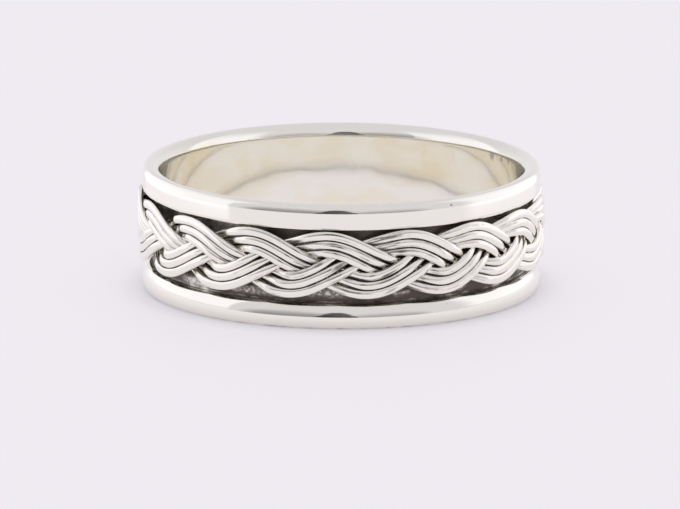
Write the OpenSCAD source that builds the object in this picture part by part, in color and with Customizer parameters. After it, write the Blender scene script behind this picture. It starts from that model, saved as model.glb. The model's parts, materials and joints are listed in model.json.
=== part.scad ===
// A braided band ring: a plain sleeve between two round-edged rails, with a flat braid of three
// strands, three wires each, lying in the channel round the outside. The ring lies on its side, with
// the finger hole upright and its lower edge at z = 0. The side that faces -Y is the front.

/* [Sleeve] */
// Diameter of the finger hole
bore_d = 19; // [15:0.1:23]
// Thickness of the sleeve under the braid
sleeve_t = 0.35; // [0.3:0.05:0.8]

/* [Rails] */
// Width of each rail along the finger
rail_w = 1.33; // [1:0.01:2.5]
// Thickness of each rail from the finger hole to its outer face
rail_t = 0.97; // [0.85:0.01:1.4]
// How far the rounding of the finger hole's edge reaches outwards
comfort_t = 0.42; // [0.2:0.01:0.5]
// How far the rounding of the finger hole's edge reaches into the hole
comfort_w = 0.64; // [0.2:0.01:0.9]
// How far the rounding of a rail's channel side reaches inwards
channel_round = 0.3; // [0.1:0.01:0.35]

/* [Braid] */
// Width of one wire
wire_w = 0.34; // [0.3:0.01:0.5]
// Thickness of one wire
wire_t = 0.22; // [0.18:0.01:0.25]
// Gap between the wires of a strand
wire_gap = 0.125; // [0.11:0.005:0.2]
// Radial gap between the levels of an upper and a lower strand
level_gap = 0.31; // [0.3:0.01:0.4]
// Gap between the lowest wires and the sleeve
seat_gap = 0.09; // [0.05:0.01:0.2]
// Gap between the braid and the upper rail
upper_gap = 0.08; // [0.05:0.01:0.5]
// Gap between the braid and the lower rail
lower_gap = 0.41; // [0.1:0.01:0.6]
// Distance from one crossing to the next, in strand widths
crossing_step = 3; // [2.8:0.1:4]
// Swing of a strand to each side of the braid's middle, in strand widths
swing_share = 0.86; // [0.84:0.01:1]
// Turns the braid round the ring, in degrees
braid_turn = 7.7; // [0:0.1:21]
// How far the hand-made crossings drift from an even spacing, in degrees
drift = 3.4; // [0:0.1:5]
// Where the braid is loosest, in degrees from the front
loose_at = -42; // [-180:1:180]
// Gap where each strand's end meets the start of the next, at the back
join_gap = 0.15; // [0.12:0.01:0.5]

/* [Hidden] */
$fn = 96;

bore_r = bore_d / 2;
floor_r = bore_r + sleeve_t;
rail_r = bore_r + rail_t;
crest_r = bore_r + comfort_t;

strands = 3;
wires = 3;
lane_pitch = wire_w + wire_gap;
strand_w = wires * wire_w + (wires - 1) * wire_gap;
swing = swing_share * strand_w;
braid_w = strand_w + 2 * swing;
channel_w = upper_gap + braid_w + lower_gap;
band_w = channel_w + 2 * rail_w;
braid_z = rail_w + lower_gap + braid_w / 2;

lift = (wire_t + level_gap) / 2;
braid_r = floor_r + seat_gap + wire_t / 2 + lift;
crossings = round(2 * PI * braid_r / (crossing_step * strand_w));

// Phase by which each strand's humps lean towards the end of the strand
lean = 8;
// Sharpness of the humps, as a share of the third harmonic
sharpness = 0.03;
// Phase by which an outer wire of a strand dips before the middle wire
lane_lag = 18;
// Share of the strand's own slant that its wires roll with
roll_share = 0.5;
// Width of a wire's flat top, as a share of its width
flat_share = 0.45;
// Sections of a wire from one crossing to the next
steps_per_crossing = 7;
// Points in each rounding of the rails
round_steps = 8;

silver = [0.87, 0.86, 0.83];
bright_silver = [0.93, 0.92, 0.90];

// Points along a quarter of an ellipse about a centre given by radius and height
function quarter(r, z, a, b, from, to) =
    [for (i = [0 : round_steps]) let (t = from + (to - from) * i / round_steps)
        [r + a * cos(t), z + b * sin(t)]];

// Outline of a rail from the finger hole over its crest down to the sleeve, with its channel side at
// height foot and its crest at foot + rail_w
function rail_outline(foot) = concat(
    quarter(crest_r, foot + rail_w - comfort_w, comfort_t, comfort_w, 180, 90),
    quarter(crest_r, foot + rail_w / 2, rail_t - comfort_t, rail_w / 2, 90, 0),
    quarter(rail_r - channel_round, foot + rail_w / 2, channel_round, rail_w / 2, 0, -90),
    [[floor_r, foot]]);

function flipped(outline) =
    [for (i = [len(outline) - 1 : -1 : 0]) [outline[i][0], -outline[i][1]]];

// The sleeve and both rails, soldered into one
module band() {
    rail = rail_outline(channel_w / 2);
    color(bright_silver)
        translate([0, 0, band_w / 2])
            rotate_extrude()
                polygon(concat(rail, flipped(rail)));
}

// Phase of a strand's wave, in degrees, at an angle round the ring from the front
function phase(angle, strand) =
    crossings / strands * (angle - drift * sin(angle - loose_at) + braid_turn)
        + 360 / strands * strand;

// Height of a strand's middle above the middle of the braid
function strand_z(p) =
    let (q = p - lean / 2 * (1 + cos(2 * p)))
        swing * (cos(q) + sharpness * cos(3 * q)) / (1 + sharpness);

// Radius of a wire's middle: over the next strand as it leaves the edge, and under as it nears it
function wire_r(p, lane) =
    braid_r + lift * sin(90 * sin(2 * (p - lean / 4 - lane_lag * lane * sin(p))));

// Slope of a strand along the ring
function strand_slope(angle, strand) =
    let (d = 0.5)
        (strand_z(phase(angle + d, strand)) - strand_z(phase(angle - d, strand)))
            / (braid_r * 2 * d * PI / 180);

// The six corners of a wire's section, as shares of half its width and thickness
corners = [[1, 0], [flat_share, 1], [-flat_share, 1], [-1, 0], [-flat_share, -1], [flat_share, -1]];

// One section of a wire, cut square to the ring at an angle from the front
function section(angle, strand, lane) =
    let (
        p = phase(angle, strand),
        stretch = sqrt(1 + pow(strand_slope(angle, strand), 2)),
        z = braid_z + strand_z(p) + lane * lane_pitch * stretch,
        r = wire_r(p, lane),
        e = 0.3,
        slant = (wire_r(p, lane + e) - wire_r(p, lane - e)) / (2 * e * lane_pitch * stretch),
        roll = atan(roll_share * slant)
    )
    [for (c = corners)
        let (
            w = c[0] * wire_w / 2 * stretch,
            t = c[1] * wire_t / 2,
            cr = r + w * sin(roll) + t * cos(roll),
            cz = z + w * cos(roll) - t * sin(roll)
        )
        [cr * sin(angle), -cr * cos(angle), cz]];

// One strand of the braid: its wires run once round the ring, side by side
module strand(number) {
    half_join = join_gap / 2 / braid_r * 180 / PI;
    first = -180 + half_join;
    steps = crossings * steps_per_crossing;
    sides = len(corners);
    wire_points = (steps + 1) * sides;
    points = [
        for (w = [0 : wires - 1])
            for (i = [0 : steps])
                each section(first + (360 - 2 * half_join) * i / steps, number, w - (wires - 1) / 2)
    ];
    skin = [
        for (w = [0 : wires - 1])
            for (i = [0 : steps - 1])
                for (s = [0 : sides - 1])
                    let (
                        a = w * wire_points + i * sides + s,
                        b = w * wire_points + i * sides + (s + 1) % sides
                    )
                    each [[a, a + sides, b], [b, a + sides, b + sides]]
    ];
    caps = [
        for (w = [0 : wires - 1])
            each [
                [for (s = [0 : sides - 1]) w * wire_points + s],
                [for (s = [sides - 1 : -1 : 0]) w * wire_points + steps * sides + s]
            ]
    ];
    color(silver) polyhedron(points, concat(skin, caps));
}

module strand_1() {
    strand(0);
}

module strand_2() {
    strand(1);
}

module strand_3() {
    strand(2);
}

band();
strand_1();
strand_2();
strand_3();
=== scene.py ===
"""The looks of the braided band ring: polished silver rails, a worn braid of flat-topped wires, and
darkened silver in the channel and the grooves. Lengths are written in millimetres and angles round
the ring in degrees from the front, and both are turned into metres and radians where they are used."""

import json
import math

import bpy
import numpy as np
from mathutils import Euler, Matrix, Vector


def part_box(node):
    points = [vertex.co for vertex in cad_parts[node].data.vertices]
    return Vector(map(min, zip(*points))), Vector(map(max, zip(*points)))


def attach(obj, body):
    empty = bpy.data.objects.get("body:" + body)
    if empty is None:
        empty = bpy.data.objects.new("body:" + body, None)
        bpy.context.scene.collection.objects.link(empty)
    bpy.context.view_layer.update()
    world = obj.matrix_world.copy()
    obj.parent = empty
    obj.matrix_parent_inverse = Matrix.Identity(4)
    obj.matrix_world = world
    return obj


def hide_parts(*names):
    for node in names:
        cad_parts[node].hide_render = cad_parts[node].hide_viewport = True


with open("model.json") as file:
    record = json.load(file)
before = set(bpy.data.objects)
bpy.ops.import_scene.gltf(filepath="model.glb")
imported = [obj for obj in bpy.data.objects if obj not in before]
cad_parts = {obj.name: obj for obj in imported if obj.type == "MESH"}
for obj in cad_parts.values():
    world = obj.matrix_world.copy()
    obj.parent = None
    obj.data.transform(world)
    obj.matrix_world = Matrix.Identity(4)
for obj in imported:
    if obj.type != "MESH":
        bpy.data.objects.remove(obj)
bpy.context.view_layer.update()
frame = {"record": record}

MM = 0.001
# Far less than any size of the ring, to tell equal radii and heights from others
HAIR = 0.001

# Sizes that the frame gives
finger_bore = next(m for m in frame["record"]["mounts"] if m["name"] == "finger_bore")
BORE_R = finger_bore["dims"]["r_mm"]
band_low, band_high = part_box("band")
BAND_W = (band_high.z - band_low.z) / MM
MID_Z = (band_high.z + band_low.z) / 2 / MM

# Sleeve and rails
SLEEVE_T = 0.35
FLOOR_R = BORE_R + SLEEVE_T
RAIL_W = 1.33
RAIL_T = 0.97
RAIL_R = BORE_R + RAIL_T
CHANNEL_W = BAND_W - 2 * RAIL_W
BAND_COLUMNS = 720

# Roundings of a rail, from the finger hole over the crest to the belly of its outer face
BORE_EDGE_ROUND = 0.975
SHOULDER_ROUND = 0.33
CREST_FACE_ROUND = 0.92
# Roundings from the belly to the channel, of the outer face and of the channel's edge
UPPER_RAIL_FOOT = (3.75, 0.04)
LOWER_RAIL_FOOT = (1.2, 0.3)

# The upper rail's outer face is rounded towards the channel round this angle, and straight past its reach.
# That face is the part of the rail this near to its full radius and this far from the channel.
ROUNDED_AT = 4
ROUNDED_REACH = (20, 38)
FACE_DEPTH = 0.1
FACE_FOOT = 0.05

# How far the hand-made band strays from its outline, in the finger hole, on the rails and in height
BORE_RIPPLE = 0.01
RAIL_RIPPLE = 0.006
HEIGHT_RIPPLE = 0.008

# Distances out from the finger hole's wall between which a surface comes to count as inside the hole
INSIDE_REACH = (0.12, 0.02)

# Course of the braid, by the same values and formulas as the solids of its strands
STRANDS = 3
WIRES = 3
LANE_PITCH = 0.465
STRAND_W = 1.27
SWING = 0.86 * STRAND_W
LOWER_GAP = 0.41
BRAID_Z = RAIL_W + LOWER_GAP + STRAND_W / 2 + SWING
BRAID_R = 10.315
LIFT = 0.265
CROSSINGS = 17
BRAID_TURN = 7.7
DRIFT = 3.4
LOOSE_AT = -42.0
LEAN = 8.0
SHARPNESS = 0.03

# A stretch of the real braid that is pushed a little to the right
PUSH = 1.1
PUSH_AT = 26.0
PUSH_REACH = 20.0

# Rise and fall of the real wires, by the phase of their strand in degrees
OVER_AT = 37.0
OVER_WIDEN = 10.0
FLATNESS = 0.9
LANE_LEAD = 20.0
LANE_TURN_AT = 32.0
LANE_TURN_SOFT = 0.3

# The real wires, which lie closer than their solids, and the gap where their ends meet at the back
WIRE_W = 0.45
WIRE_T = 0.34
WIRE_POWER = 2.2
WIRE_ROLL = 0.25
JOIN_GAP = 0.012
WIRE_SIDES = 20
STEPS_PER_CROSSING = 26
# How far the wires stay above the channel's floor
SEAT_GAP = 0.01

# Polish that flattens the wires' tops: its radius at the braid's middle, how softly it cuts, and how far
# it has fallen a millimetre away from the middle
POLISH_R = 10.76
POLISH_SOFT = 0.03
CROWN = 0.025

# A wire dives where the sine of its wave is past the first of these numbers, and fully past the second.
# It then narrows like a finger tip, by a share, between these depths below its highest level.
DIVING = (-0.3, 0.5)
FINGER_TAPER = 0.15
TAPER_DEPTHS = (0.05, 0.4)

# Solder on the channel's floor: its height, how uneven it is, how far its middle wanders, and the heights
# between which it comes to look gritty
SOLDER_H = 0.07
SOLDER_UNEVEN = 0.4
SOLDER_WANDER = 0.08
SOLDER_GRITTY = (0.01, 0.05)

# The wear in the channel and the painted light in the braid's grooves, both on the ring's front, end
# between these angles on both sides
FRONT_WEAR_AND_LIGHT_END = (130, 100)

# Patina of the band, which sets in between these distances out from the top of the channel's wall. A share
# of it is worn off in the channel's upper half, on the left.
CHANNEL_EDGE = (0.005, -0.05)
CHANNEL_WORN = 0.36
CHANNEL_WORN_FROM = (-15, -40)
# The band's underside is darkened by painted shade where it stands on the paper, from the first to the
# second of these heights, but not this near the hole
SOLE_PAINTED_SHADE = 0.5
SOLE_SHADE_HEIGHTS = (0.11, 0.03)
SOLE_SHADE_FROM_BORE = 0.3

# Patina in the grooves between wires. It sets in from the first to the second share of a wire's half
# width, and by the lean further out at the wire's top.
GROOVE = (0.74, 0.98)
GROOVE_LEAN = 0.12
# The grooves are cleaner on a strand's outer edges and where a wire rises, and finger tips are darker with
# patina and painted shade, where they dive under the next strand
OUTER_EDGE = (0.2, 0.6)
OUTER_EDGE_CLEAN = 0.85
RISING_DEPTHS = (0.04, 0.25)
RISING_CLEAN = 0.65
TIP_SHADE_DEPTHS = (0.38, 0.5)
TIP_PATINA_AND_SHADE = 0.25
# Painted light: the braid's grooves are lighter towards both sides, where the braid looks brighter in the
# light
GROOVES_PAINTED_LIGHTER = [
    # share of the grooves' darkness that painted light takes off, and the angles where that starts and is
    # complete
    (0.85, 24, 46),
    (0.4, -20, -40),
]

# Fine dark streaks along the wires: on all of them; more round one angle at the front, as a painted
# reflection of the tent's dark front; and more where a wire rises
STREAKS = 0.13
FRONT_REFLECTION_STREAKS = 0.52
FRONT_REFLECTION_AT = 6
FRONT_REFLECTION_REACH = 22
RISING_STREAKS = 0.15
STREAK_SEED = 40
STREAK_RINGS = 17
STREAK_RANGE = (0.2, 1.6)

# Colours of the silver: polished, worn and darkened
SILVER = (0.95, 0.93, 0.855, 1)
WORN_SILVER = (0.93, 0.88, 0.74, 1)
OXIDE = (0.1, 0.081, 0.066, 1)

# Noises in the silver: cells to a metre, detail, and how much closer the cells are along each axis
BLOTCHES = (1500, 4, (1, 1, 1))
GRIT_SPECKS = (5200, 6, (1, 1, 1.4))
RAGGED_EDGES = (6000, 2, (1, 1, 1))
BORE_STREAKS = (260, 3, (1, 1, 2.5))
UNEVEN_POLISH = (500, 3, (1, 1, 1))
SCRATCHES = (6000, 2, (1, 1, 3))
WAVES = (420, 1, (1, 1, 1))
GRIT = (5200, 6, (1, 1, 1))
CRUST = (3800, 4, (1, 1, 1))
# What most of a noise lies between, and narrower stretches of it
NOISE_RANGE = (0.3, 0.7)
SPECK_RANGE = (0.46, 0.66)
BORE_STREAK_RANGE = (0.45, 0.64)

# Darkness: the patina and painted shade from which it is none and full, the most that blotches change and
# the level of it over which they set in, the share that specks of grit take off, and how ragged and how
# full a small mark is
DARK_RANGE = (0.05, 0.85)
BLOTCH_SHARE = 0.18
BLOTCH_START = (0, 0.15)
SPECK_CLEAN = (0.2, 0.75)
MARK_RAGGED = (0.7, 1.4)
MARK_CORE = 0.2

# Shine: how uneven the polish is, and what darkness, grit and the finger hole change of it
POLISH_SPREAD = 0.05
DARK_ROUGHNESS = 0.32
GRIT_ROUGHNESS = 0.2
BORE_ROUGHNESS_SHARE = 0.6
DARK_METALLIC = 0.5
BORE_HAZE = 0.13

# Relief: the heights of its parts, in times the bump's distance
SCRATCH_RELIEF = 0.1
WAVE_RELIEF = 0.5
BORE_WAVE_RELIEF = 2.5
GRIT_RELIEF = 8
CRUST_RELIEF = 2

# The photo's view
CAMERA_DISTANCE = 600
CAMERA_ELEVATION = 12.8
CAMERA_ROLL = 0.19
FRAME_W_PX = 680
FRAME_H_PX = 509
RING_PX = (341.35, 224.1)
PX_PER_MM = 19.01
SENSOR_MM = 36.0


def smooth(x, none, full):
    """0 at none and beyond, 1 at full and beyond, and an even curve between. Either may be the higher."""
    t = np.clip((x - none) / (full - none), 0, 1)
    return t * t * (3 - 2 * t)


def soft_min(x, limit, soft):
    """x, rounded off where it would pass the limit."""
    return limit - soft * np.logaddexp(0, (limit - x) / soft)


def ripple(seed, angle, height, waves=5):
    """A gentle unevenness round the ring, from a few sine waves, between about -1 and 1."""
    rng = np.random.default_rng(seed)
    total = np.zeros(np.broadcast(angle, height).shape)
    for n in range(1, waves + 1):
        turns = rng.integers(2 * n, 5 * n)
        climb = rng.uniform(-0.8, 0.8)
        total += np.sin(np.radians(turns * angle) + climb * height + rng.uniform(0, 2 * math.pi)) / n
    return total / 2


def make_mesh(name, points, faces, values):
    """A smooth-shaded mesh from points in millimetres, with a named value for each point."""
    mesh = bpy.data.meshes.new(name)
    mesh.from_pydata((points * MM).tolist(), [], faces)
    for key, value in values.items():
        attribute = mesh.attributes.new(key, "FLOAT", "POINT")
        attribute.data.foreach_set("value", value.astype(np.float32).ravel())
    mesh.polygons.foreach_set("use_smooth", [True] * len(mesh.polygons))
    mesh.update()
    piece = bpy.data.objects.new(name, mesh)
    bpy.context.scene.collection.objects.link(piece)
    return piece


def on_ring(angle, radius, height):
    """Points at angles from the front, at radii and heights."""
    a = np.radians(angle)
    return np.stack([radius * np.sin(a), -radius * np.cos(a), height + 0 * a], axis=-1)


def grid_faces(rows, columns, rows_closed, columns_closed):
    """Quads over a grid of points that are numbered row by row."""
    i = np.arange(rows if rows_closed else rows - 1)[:, None]
    j = np.arange(columns if columns_closed else columns - 1)[None, :]
    i2, j2 = (i + 1) % rows, (j + 1) % columns
    quads = [i * columns + j, i2 * columns + j, i2 * columns + j2, i * columns + j2]
    return np.stack([q + 0 * (i + j) for q in quads], axis=-1).reshape(-1, 4)


# Band

def arc_chain(start, arcs):
    """Points along arcs that run on into each other. An arc is its radius, the directions that its
    surface faces at its two ends, in degrees above straight outwards, and its number of steps."""
    points = [np.array(start)]
    for radius, begin, end, steps in arcs:
        t = np.radians(np.linspace(begin, end, steps + 1))
        turned = radius * np.stack([np.cos(t), np.sin(t)], axis=-1)
        points.extend(points[-1] + turned[1:] - turned[0])
    return np.array(points)


def rail_outline(foot, face_round, edge_round):
    """A rail's outline from the finger hole over its crest and face down to the sleeve, and the radius at
    which its channel wall starts."""
    shoulder, crown_start, crown_end = 20, 77, 161
    sines = {d: math.sin(math.radians(d)) for d in (shoulder, crown_start)}
    cosines = {d: math.cos(math.radians(d)) for d in (shoulder, crown_start, crown_end)}
    used = (CREST_FACE_ROUND * (1 - cosines[shoulder])
            + SHOULDER_ROUND * (cosines[shoulder] - cosines[crown_start])
            + BORE_EDGE_ROUND * (cosines[crown_end] + 1))
    crown_round = (RAIL_T - used) / (cosines[crown_start] - cosines[crown_end])
    crest_rise = (CREST_FACE_ROUND * sines[shoulder]
                  + SHOULDER_ROUND * (sines[crown_start] - sines[shoulder])
                  + crown_round * (1 - sines[crown_start]))
    belly = (RAIL_R, foot + RAIL_W - crest_rise)
    upwards = arc_chain(belly, [
        (CREST_FACE_ROUND, 0, shoulder, 7),
        (SHOULDER_ROUND, shoulder, crown_start, 9),
        (crown_round, crown_start, crown_end, 11),
        (BORE_EDGE_ROUND, crown_end, 180, 5),
    ])
    face_end = -math.degrees(math.asin((RAIL_W - crest_rise - edge_round) / (face_round - edge_round)))
    downwards = arc_chain(belly, [(face_round, 0, face_end, 9), (edge_round, face_end, -90, 5)])
    wall_r, steps = downwards[-1, 0], 3
    wall = np.stack([np.linspace(wall_r, FLOOR_R, steps + 1)[1:], np.full(steps, foot)], axis=-1)
    return np.concatenate([upwards[::-1], downwards[1:], wall]), wall_r


def straight_up(r, start, end, steps):
    """Points at one radius between two heights, without the two ends."""
    z = np.linspace(start, end, steps + 1)[1:-1]
    return np.stack([np.full(len(z), r), z], axis=-1)


def solder_patches(angle, z):
    """Solder that has run out on the floor of the channel under the braid: its height, and how far it
    is free of the dark patina."""
    patches = [
        # angle, half length in degrees, height from the middle, half width, how clean
        (-49, 7, -1.62, 0.28, 0.6),
        (-27, 9, -1.5, 0.22, 0.3),
        (-4, 8, -1.42, 0.26, 0.1),
        (18, 3, -1.55, 0.14, 0.3),
        (38, 3, -1.5, 0.18, 0.2),
        (74, 6, -1.5, 0.2, 0.4),
        (-88, 6, -1.5, 0.2, 0.4),
        (128, 6, -1.45, 0.22, 0.3),
        (-140, 7, -1.5, 0.24, 0.3),
        (-27, 4, 1.9, 0.1, 0.4),
    ]
    wander = SOLDER_WANDER * ripple(17, 3 * angle, 0)
    uneven = 1 + SOLDER_UNEVEN * ripple(11, 2 * angle, 2 * z)
    total = np.zeros(np.broadcast(angle, z).shape)
    clean = np.zeros_like(total)
    for at, half_length, middle, half_width, share in patches:
        along = np.exp(-((angle - at) / half_length) ** 4)
        across = np.exp(-((z - (middle + wander)) / half_width) ** 4)
        total += along * across
        clean += share * along * across
    return SOLDER_H * total * uneven, clean


def band_outline():
    """The closed outline of the sleeve and both rails, as radii and as heights from the middle. With it
    go the radius at which each side's channel wall starts and the height of the upper rail's belly."""
    upper, upper_wall_r = rail_outline(CHANNEL_W / 2, *UPPER_RAIL_FOOT)
    lower, lower_wall_r = rail_outline(CHANNEL_W / 2, *LOWER_RAIL_FOOT)
    lower = lower[::-1] * [1, -1]
    floor = straight_up(FLOOR_R, CHANNEL_W / 2, -CHANNEL_W / 2, 26)
    bore = straight_up(BORE_R, lower[-1, 1], upper[0, 1], 9)
    outline = np.concatenate([upper, floor, lower, bore])
    r, z = outline[None, :, 0], outline[None, :, 1]
    wall_r = np.where(z > 0, upper_wall_r, lower_wall_r)
    upper_belly_z = upper[np.argmax(upper[:, 0]), 1]
    return r, z, wall_r, upper_belly_z


def band_patina_and_shade(angle, r, z, in_channel, clean):
    """How dark the band is: with patina in the channel, but for what is worn off or clean solder, and with
    painted shade underneath, where it stands on the paper.
    """
    worn = CHANNEL_WORN * smooth(angle, *CHANNEL_WORN_FROM) * smooth(-angle, *FRONT_WEAR_AND_LIGHT_END) * (z > 0)
    # Painted shade along the band's bottom edge, where it stands on the paper
    sole_shade = SOLE_PAINTED_SHADE * smooth(BAND_W / 2 + z, *SOLE_SHADE_HEIGHTS) * (r > BORE_R + SOLE_SHADE_FROM_BORE)
    return in_channel * (1 - clean) * (1 - worn) + sole_shade


def make_band():
    """The sleeve and both rails, turned in one and a little uneven, as handwork is."""
    half_w = CHANNEL_W / 2
    r, z, wall_r, upper_belly_z = band_outline()
    angle = np.linspace(-180, 180, BAND_COLUMNS, endpoint=False)[:, None]
    between = smooth(np.abs(z), half_w + HAIR, half_w - HAIR) * (r > BORE_R + SLEEVE_T / 2)
    in_channel = between * smooth(r - wall_r, *CHANNEL_EDGE)
    on_floor = between * (r < FLOOR_R + HAIR)
    inside = smooth(r - BORE_R, *INSIDE_REACH)
    outer_face = (r > RAIL_R - FACE_DEPTH) * (z > half_w + FACE_FOOT) * (z < upper_belly_z)
    straight = smooth(np.abs(angle - ROUNDED_AT), *ROUNDED_REACH) * outer_face

    solder, clean = (on_floor * part for part in solder_patches(angle, z))
    stray = BORE_RIPPLE * ripple(3, angle, z) * inside
    stray = stray + RAIL_RIPPLE * ripple(8, angle, z, waves=7) * (1 - inside)
    radius = r + stray * (1 - between) + solder + straight * (RAIL_R - r)
    height = MID_Z + z + HEIGHT_RIPPLE * ripple(5, angle, r) * (1 - on_floor)
    points = on_ring(angle, radius, np.clip(height, 0, BAND_W)).reshape(-1, 3)
    values = {
        "patina": band_patina_and_shade(angle, r, z, in_channel, clean),
        "grit": smooth(solder, *SOLDER_GRITTY),
        "inside": inside + 0 * angle,
    }
    faces = grid_faces(BAND_COLUMNS, r.size, True, True)
    return make_mesh("silver_band", points, faces[:, ::-1].tolist(), values)


# Braid

def phase(angle, strand):
    """Phase of a strand's wave at an angle from the front, with the push that the solids leave out."""
    drifted = angle - DRIFT * np.sin(np.radians(angle - LOOSE_AT)) + BRAID_TURN
    drifted = drifted - PUSH * np.exp(-((angle - PUSH_AT) / PUSH_REACH) ** 2)
    return CROSSINGS / STRANDS * drifted + 360 / STRANDS * strand


def strand_z(p):
    """Height of a strand's middle above the middle of the braid."""
    q = np.radians(p - LEAN / 2 * (1 + np.cos(np.radians(2 * p))))
    return SWING * (np.cos(q) + SHARPNESS * np.cos(3 * q)) / (1 + SHARPNESS)


def strand_stretch(angle, strand):
    """How much further a strand reaches along the finger than square across itself, as it slants."""
    d = 0.5
    rise = strand_z(phase(angle + d, strand)) - strand_z(phase(angle - d, strand))
    return np.sqrt(1 + (rise / (BRAID_R * math.radians(2 * d))) ** 2)


def wave_angle(p, lane):
    """Twice the phase of a wire's rise and fall, 0 where it lies highest. A strand's outer wire comes
    out from under the next strand first and goes under again last."""
    turn = np.sin(np.radians(p - LANE_TURN_AT))
    turn = turn / np.sqrt(turn ** 2 + LANE_TURN_SOFT)
    x = p - OVER_AT - LANE_LEAD * lane * turn
    return 2 * np.radians(x - OVER_WIDEN * np.sin(np.radians(2 * x)))


def wire_r(p, lane):
    """Radius of a wire's middle: over the next strand, and then under."""
    wave = np.cos(wave_angle(p, lane))
    return BRAID_R + LIFT * ((1 - FLATNESS) * wave + FLATNESS * np.sin(math.pi / 2 * wave))


def wire_section():
    """The outline of a wire's section, as shares of its half width and of its half thickness."""
    turn = np.radians(np.arange(WIRE_SIDES) * 360 / WIRE_SIDES)[None, :]
    c, s = np.cos(turn), np.sin(turn)
    across = np.sign(c) * np.abs(c) ** (2 / WIRE_POWER)
    up = np.sign(s) * np.abs(s) ** (2 / WIRE_POWER)
    return across, up


def streaks(seed, rings):
    """Fine streaks along a wire, as how dark each point of its rings is."""
    rough = np.random.default_rng(seed).normal(size=(rings + STREAK_RINGS - 1, WIRE_SIDES))
    kernel = np.hanning(STREAK_RINGS + 2)[1:-1]
    kernel = kernel / np.sqrt((kernel ** 2).sum())
    lines = [np.convolve(rough[:, side], kernel, "valid") for side in range(WIRE_SIDES)]
    return smooth(np.stack(lines, axis=-1), *STREAK_RANGE)


def wire_patina_and_painted_light(angle, strand, lane, depth, diving):
    """How dark each point of a wire's rings is: patina in its grooves, patina and painted shade at its
    finger tips, fine streaks with a painted reflection at the front, and painted light towards the sides.
    """
    across, up = wire_section()
    outer = smooth(across * lane, *OUTER_EDGE)
    rising = (1 - diving) * smooth(depth, *RISING_DEPTHS)
    groove = smooth(np.abs(across) - GROOVE_LEAN * up, *GROOVE)
    groove = groove * (1 - OUTER_EDGE_CLEAN * outer) * (1 - RISING_CLEAN * rising)
    # Patina and painted shade at the finger tips, where a wire dives under the next strand
    tip_patina_and_shade = TIP_PATINA_AND_SHADE * diving * smooth(depth, *TIP_SHADE_DEPTHS)
    # Painted light: the grooves are lighter towards both sides
    painted_lighter = sum(share * smooth(angle, start, full) for share, start, full in GROOVES_PAINTED_LIGHTER)
    painted_lighter = painted_lighter * smooth(np.abs(angle), *FRONT_WEAR_AND_LIGHT_END)
    # Painted reflection of the tent's dark front: more dark streaks round the front
    front = np.exp(-((angle - FRONT_REFLECTION_AT) / FRONT_REFLECTION_REACH) ** 2)
    streaky = STREAKS + FRONT_REFLECTION_STREAKS * front + RISING_STREAKS * rising
    fine = streaky * streaks(STREAK_SEED + WIRES * strand + int(lane), len(angle))
    return np.clip((groove + tip_patina_and_shade) * (1 - painted_lighter) + fine, 0, 1)


def wire_rings(strand, lane):
    """The rings of points round one wire, with how dark each point is."""
    half_join = math.degrees(JOIN_GAP / 2 / BRAID_R)
    rings = CROSSINGS * STEPS_PER_CROSSING + 1
    angle = np.linspace(-180 + half_join, 180 - half_join, rings)[:, None]
    p = phase(angle, strand)
    stretch = strand_stretch(angle, strand)
    middle_r = wire_r(p, lane)
    middle_z = BRAID_Z + strand_z(p) + lane * LANE_PITCH * stretch
    e = 0.3
    slant = (wire_r(p, lane + e) - wire_r(p, lane - e)) / (2 * e * LANE_PITCH * stretch)
    roll = np.arctan(WIRE_ROLL * slant)
    depth = BRAID_R + LIFT - middle_r
    diving = smooth(np.sin(wave_angle(p, lane)), *DIVING)

    across, up = wire_section()
    taper = FINGER_TAPER * smooth(depth, *TAPER_DEPTHS) * diving
    half_w = WIRE_W / 2 * stretch * (1 - taper)
    half_t = WIRE_T / 2
    radius = middle_r + across * half_w * np.sin(roll) + up * half_t * np.cos(roll)
    height = middle_z + across * half_w * np.cos(roll) - up * half_t * np.sin(roll)
    radius = soft_min(radius, POLISH_R - CROWN * (height - BRAID_Z) ** 2, POLISH_SOFT)
    radius = -soft_min(-radius, -FLOOR_R - SEAT_GAP, SEAT_GAP)
    return on_ring(angle, radius, height), wire_patina_and_painted_light(angle, strand, lane, depth, diving)


def make_strand(number):
    """One strand of the braid: its wires side by side, once round the ring."""
    points, patina, faces, start = [], [], [], 0
    for wire in range(WIRES):
        rings, dark = wire_rings(number, wire - (WIRES - 1) / 2)
        rows, sides = rings.shape[:2]
        points.append(rings.reshape(-1, 3))
        patina.append(dark.reshape(-1))
        faces += (grid_faces(rows, sides, False, True) + start).tolist()
        faces.append([start + s for s in range(sides)][::-1])
        faces.append([start + (rows - 1) * sides + s for s in range(sides)])
        start += rows * sides
    patina = np.concatenate(patina)
    values = {"patina": patina, "grit": 0 * patina, "inside": 0 * patina}
    return make_mesh(f"silver_strand_{number + 1}", np.concatenate(points), faces, values)


# Materials

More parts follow.
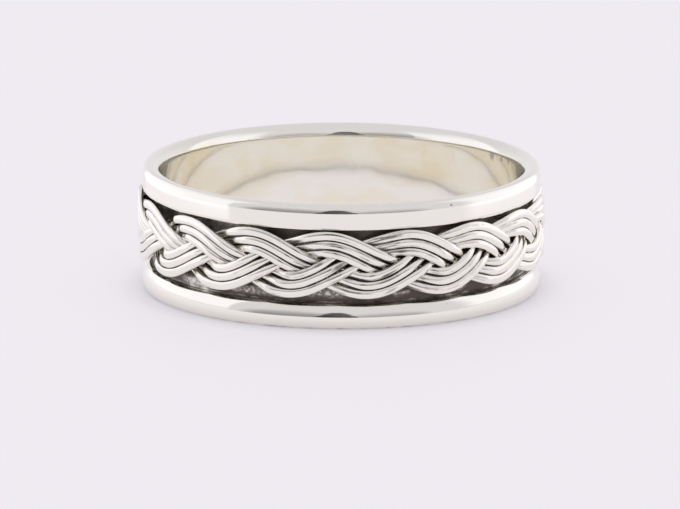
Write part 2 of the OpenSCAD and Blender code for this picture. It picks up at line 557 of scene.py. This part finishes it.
class Tree:
    """Short calls that add nodes to the node tree of a material or world, and link them."""

    def __init__(self, owner):
        owner.use_nodes = True
        self.nodes, self.links = owner.node_tree.nodes, owner.node_tree.links

    def add(self, kind, **settings):
        """A new node with the settings given."""
        node = self.nodes.new(kind)
        for key, value in settings.items():
            setattr(node, key, value)
        return node

    def feed(self, node, values):
        """The node, with other nodes' outputs linked to its inputs, or numbers and colours set there."""
        for key, value in values.items():
            if isinstance(value, bpy.types.NodeSocket):
                self.links.new(value, node.inputs[key])
            else:
                node.inputs[key].default_value = value
        return node

    def attribute(self, name):
        """The value of that name that each point of the mesh carries."""
        return self.add("ShaderNodeAttribute", attribute_name=name).outputs["Fac"]

    def noise(self, place, cells, detail, closer):
        """A noise with so many cells to a metre, which may be closer together along some axes."""
        mapping = self.feed(self.add("ShaderNodeMapping"), {"Vector": place, "Scale": closer})
        settings = {"Vector": mapping.outputs["Vector"], "Scale": cells, "Detail": detail}
        return self.feed(self.add("ShaderNodeTexNoise"), settings).outputs["Fac"]

    def remap(self, value, given, becomes):
        """A value eased from one range to another, which it doesn't leave."""
        node = self.add("ShaderNodeMapRange", interpolation_type="SMOOTHSTEP")
        numbers = dict(zip(("From Min", "From Max", "To Min", "To Max"), (*given, *becomes)))
        return self.feed(node, {"Value": value, **numbers}).outputs["Result"]

    def combine(self, operation, *values):
        """What a math node makes of its values."""
        node = self.add("ShaderNodeMath", operation=operation)
        return self.feed(node, dict(enumerate(values))).outputs["Value"]

    def measure(self, operation, a, b):
        """The number that a vector math node makes of two vectors."""
        node = self.add("ShaderNodeVectorMath", operation=operation)
        return self.feed(node, {0: a, 1: b}).outputs["Value"]

    def mixed(self, factor, a, b):
        """Colour a where the factor is 0, and b where it is 1."""
        node = self.add("ShaderNodeMix", data_type="RGBA")
        return self.feed(node, {"Factor": factor, "A": a, "B": b}).outputs["Result"]


def darkness(tree, place, patina, grit, marks):
    """How dark the silver is: by its patina, painted shade and painted light, which have blotches and
    light specks of grit in them, and in small ragged marks."""
    blotch = tree.remap(tree.noise(place, *BLOTCHES), NOISE_RANGE, (-BLOTCH_SHARE, BLOTCH_SHARE))
    blotch = tree.combine("MULTIPLY", blotch, tree.remap(patina, BLOTCH_START, (0, 1)))
    dark = tree.remap(tree.combine("ADD", patina, blotch), DARK_RANGE, (0, 1))
    speck = tree.remap(tree.noise(place, *GRIT_SPECKS), SPECK_RANGE, SPECK_CLEAN)
    covered = tree.combine("SUBTRACT", 1, tree.combine("MULTIPLY", grit, speck))
    dark = tree.combine("MULTIPLY", dark, covered)
    for angle, radius, height, size, strength in marks:
        middle = on_ring(angle, radius, MID_Z + height) * MM
        away = tree.measure("DISTANCE", place, middle.tolist())
        ragged = tree.remap(tree.noise(place, *RAGGED_EDGES), NOISE_RANGE, MARK_RAGGED)
        reach = (MARK_CORE * size * MM, size * MM)
        mark = tree.remap(tree.combine("MULTIPLY", away, ragged), reach, (strength, 0))
        dark = tree.combine("MAXIMUM", dark, mark)
    return dark


def silver_relief(tree, place, dark, grit, inside):
    """Height of the silver: scratches outside the finger hole, soft waves most of all in it, grit on the
    solder, and a fine crust where the silver is dark."""
    scratched = tree.remap(inside, (0, 1), (SCRATCH_RELIEF, 0))
    scratches = tree.combine("MULTIPLY", tree.noise(place, *SCRATCHES), scratched)
    wavy = tree.remap(inside, (0, 1), (WAVE_RELIEF, BORE_WAVE_RELIEF))
    waves = tree.combine("MULTIPLY", tree.noise(place, *WAVES), wavy)
    gritty = tree.combine("MULTIPLY", tree.noise(place, *GRIT), grit)
    gritty = tree.combine("MULTIPLY", gritty, GRIT_RELIEF)
    crusty = tree.combine("MULTIPLY", tree.noise(place, *CRUST), dark)
    crusty = tree.combine("MULTIPLY", crusty, CRUST_RELIEF)
    polished = tree.combine("ADD", scratches, waves)
    return tree.combine("ADD", polished, tree.combine("ADD", gritty, crusty))


def silver_material(name, worn, polish, relief_mm, marks=()):
    """Polished silver that is darkened by its patina and by painted shade and reflection, and worn in
    streaks inside the finger hole.
    """
    material = bpy.data.materials.new(name)
    tree = Tree(material)
    place = tree.add("ShaderNodeTexCoord").outputs["Object"]
    patina, grit, inside = (tree.attribute(key) for key in ("patina", "grit", "inside"))
    dark = darkness(tree, place, patina, grit, marks)

    streak = tree.remap(tree.noise(place, *BORE_STREAKS), BORE_STREAK_RANGE, (0, 1))
    clean = tree.mixed(tree.combine("MULTIPLY", inside, streak), SILVER, worn)

    rough = tree.remap(tree.noise(place, *UNEVEN_POLISH), NOISE_RANGE, (polish, polish + POLISH_SPREAD))
    rough = tree.combine("MULTIPLY", rough, tree.remap(inside, (0, 1), (1, BORE_ROUGHNESS_SHARE)))
    rough = tree.combine("ADD", rough, tree.combine("MULTIPLY", dark, DARK_ROUGHNESS))
    rough = tree.combine("ADD", rough, tree.combine("MULTIPLY", grit, GRIT_ROUGHNESS))

    metallic = tree.remap(dark, (0, 1), (1, DARK_METALLIC))
    metallic = tree.combine("SUBTRACT", metallic, tree.combine("MULTIPLY", inside, BORE_HAZE))

    relief = silver_relief(tree, place, dark, grit, inside)
    bump = tree.add("ShaderNodeBump")
    tree.feed(bump, {"Strength": 1, "Distance": relief_mm * MM, "Height": relief})

    tree.feed(tree.nodes["Principled BSDF"], {
        "Base Color": tree.mixed(dark, clean, OXIDE),
        "Roughness": rough,
        "Metallic": metallic,
        "Normal": bump.outputs["Normal"],
    })
    return material


def rail_silver():
    """The band's silver, with a few small dark stains and nicks."""
    marks = [
        # angle, radius, height from the middle, size, strength
        (123.0, 9.52, 2.55, 0.3, 0.5),
        (117.0, 9.52, 2.55, 0.25, 0.5),
        (112.0, 9.54, 2.6, 0.25, 0.4),
        (33.0, 10.4, 3.0, 0.09, 0.8),
        (32.0, 10.4, -2.2, 0.1, 0.6),
        (-149.0, 9.6, 2.8, 0.12, 0.5),
        (-33.0, 9.7, 3.2, 0.12, 0.5),
        (-17.5, 10.25, 3.15, 0.07, 0.5),
        (-12.0, 10.1, 3.25, 0.06, 0.4),
        (-27.5, 10.3, 3.1, 0.07, 0.5),
    ]
    return silver_material("rail_silver", WORN_SILVER, polish=0.05, relief_mm=0.004, marks=marks)


def wire_silver():
    """The braid's silver, a little duller than the band's."""
    return silver_material("wire_silver", SILVER, polish=0.1, relief_mm=0.003)


def pale_paper():
    """Matt pale paper on a light table, so that what stands on it throws little shade."""
    material = bpy.data.materials.new("pale_paper")
    tree = Tree(material)
    tree.feed(tree.nodes["Principled BSDF"], {
        "Base Color": (0.297, 0.288, 0.299, 1),
        "Emission Color": (0.995, 0.96, 1.015, 1),
        "Emission Strength": 0.437,
        "Roughness": 0.7,
        "Specular IOR Level": 0.2,
    })
    return material


def bright_card():
    """A clear card that glows as strongly as each of its points says."""
    material = bpy.data.materials.new("bright_card")
    tree = Tree(material)
    tree.nodes.remove(tree.nodes["Principled BSDF"])
    glow = tree.add("ShaderNodeEmission")
    tree.feed(glow, {"Color": (0.98, 0.985, 1.05, 1), "Strength": tree.attribute("strength")})
    clear = tree.add("ShaderNodeBsdfTransparent")
    both = tree.add("ShaderNodeAddShader")
    tree.feed(both, {0: glow.outputs["Emission"], 1: clear.outputs["BSDF"]})
    tree.feed(tree.nodes["Material Output"], {"Surface": both.outputs["Shader"]})
    return material


# Studio

def make_floor():
    """A wide pale sheet under the ring."""
    half = 3000
    points = np.array([[-half, -half, 0], [half, -half, 0], [half, half, 0], [-half, half, 0]])
    sheet = make_mesh("studio_floor", points, [[0, 1, 2, 3]], {})
    sheet.data.materials.append(pale_paper())


def direction(azimuth, elevation):
    """Unit vector from the ring: azimuth 0 is the front, 90 the right, 180 the back."""
    a, e = math.radians(azimuth), math.radians(elevation)
    return Vector((math.sin(a) * math.cos(e), -math.cos(a) * math.cos(e), math.sin(e)))


def make_tent():
    """A light tent as the world: a plain glow, dimmer low down in front, where the tent has a dark
    opening, and a little brighter low down at the back."""
    tint = (1.0, 0.98, 1.035, 1)
    glow = 0.72
    low_shades = [
        # azimuth, width and softness in degrees, value at the horizon, elevation where it ends
        (-30, 16, 18, 0.4, 44),
        (28, 12, 16, 0.55, 28),
        (180, 50, 40, 1.15, 40),
    ]
    # azimuth, elevation, inner and outer reach in degrees
    opening = [(-2.5, 0, 11.5, 13.5), (-2.5, 12, 7, 9.5), (-2.5, 19, 4, 6.5)]
    opening_value = 0.15
    world = bpy.data.worlds.new("light_tent")
    bpy.context.scene.world = world
    tree = Tree(world)
    way = tree.add("ShaderNodeTexCoord").outputs["Generated"]

    def spot(azimuth, elevation, inner, outer, outside, within):
        """A round patch of the tent, with one value within and another outside."""
        near = tree.measure("DOT_PRODUCT", way, direction(azimuth, elevation))
        reach = (math.cos(math.radians(outer)), math.cos(math.radians(inner)))
        return tree.remap(near, reach, (outside, within))

    def low_down(elevation, at_horizon):
        """A value at the horizon and under it, which goes to 0 at an elevation."""
        up = tree.measure("DOT_PRODUCT", way, direction(0, 90))
        return tree.remap(up, (0, math.sin(math.radians(elevation))), (at_horizon, 0))

    total = glow
    for azimuth, width, soft, value, end in low_shades:
        part = spot(azimuth, 0, width, width + soft, 0, 1)
        shade = tree.combine("MULTIPLY_ADD", part, low_down(end, value - 1), 1)
        total = tree.combine("MULTIPLY", total, shade)
    hole = spot(*opening[0], 1, opening_value)
    for patch in opening[1:]:
        hole = tree.combine("MINIMUM", hole, spot(*patch, 1, opening_value))
    total = tree.combine("MULTIPLY", total, hole)
    tree.feed(tree.nodes["Background"], {"Color": tint, "Strength": total})


def make_side_cards():
    """A bright curved card on each side, which stands on the paper close to the ring and shows only in
    the silver. It is dimmer close to the paper."""
    card_r, top, top_soft, back_soft = 27, 56, 42, 10
    low_value, low_start, low_end = 0.3, 1.2, 3.2
    columns, rows = 90, 120
    cards = [
        # name, angles of the front and back edge, softness of the front one, strength
        ("left_card", -54.5, -140, 2, 0.3),
        ("right_card", 58, 135, 14, 0.3),
    ]
    material = bright_card()
    for name, front, back, front_soft, strength in cards:
        angle = np.linspace(front, back, columns)[:, None]
        height = np.linspace(0, top, rows)[None, :]
        fade = smooth(np.abs(angle - front), 0, front_soft) * smooth(np.abs(angle - back), 0, back_soft)
        fade = fade * smooth(height, top, top - top_soft)
        fade = fade * (low_value + (1 - low_value) * smooth(height, low_start, low_end))
        points = on_ring(angle, card_r + 0 * height, height).reshape(-1, 3)
        faces = grid_faces(*fade.shape, False, False).tolist()
        card = make_mesh(name, points, faces, {"strength": strength * fade})
        card.data.materials.append(material)
        card.visible_camera = False
        card.visible_diffuse = False
        card.visible_shadow = False


def make_top_light():
    """A broad soft light overhead, which lights the paper and isn't mirrored in the silver."""
    diameter, above, watts = 600, 1200, 10.2
    data = bpy.data.lights.new("top_light", "AREA")
    data.shape = "DISK"
    data.size = diameter * MM
    data.energy = watts
    light = bpy.data.objects.new("top_light", data)
    light.location = (0, 0, above * MM)
    light.visible_glossy = False
    bpy.context.scene.collection.objects.link(light)


def make_camera():
    """The photo's view: the ring's middle falls on the photo's own pixel for it."""
    data = bpy.data.cameras.new("camera")
    data.sensor_width = SENSOR_MM
    data.lens = PX_PER_MM * CAMERA_DISTANCE * SENSOR_MM / FRAME_W_PX
    camera = bpy.data.objects.new("camera", data)
    bpy.context.scene.collection.objects.link(camera)
    tilt = Euler((math.radians(90 - CAMERA_ELEVATION), 0, 0))
    turned = tilt.to_matrix() @ Euler((0, 0, math.radians(CAMERA_ROLL))).to_matrix()
    right, up, back = (turned.col[i] for i in range(3))
    aside = (FRAME_W_PX / 2 - RING_PX[0]) / PX_PER_MM * MM
    below = (RING_PX[1] - FRAME_H_PX / 2) / PX_PER_MM * MM
    middle = Vector((0, 0, MID_Z * MM))
    camera.location = middle + right * aside + up * below + back * (CAMERA_DISTANCE * MM)
    camera.rotation_euler = turned.to_euler()
    bpy.context.scene.camera = camera


make_camera()
make_tent()
make_side_cards()
make_top_light()
make_floor()
bpy.context.scene.view_settings.view_transform = "Standard"

band = make_band()
band.data.materials.append(rail_silver())
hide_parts("band")
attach(band, "root")

braid_silver = wire_silver()
for number in range(STRANDS):
    strand = make_strand(number)
    strand.data.materials.append(braid_silver)
    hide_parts(f"strand_{number + 1}")
    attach(strand, "root")
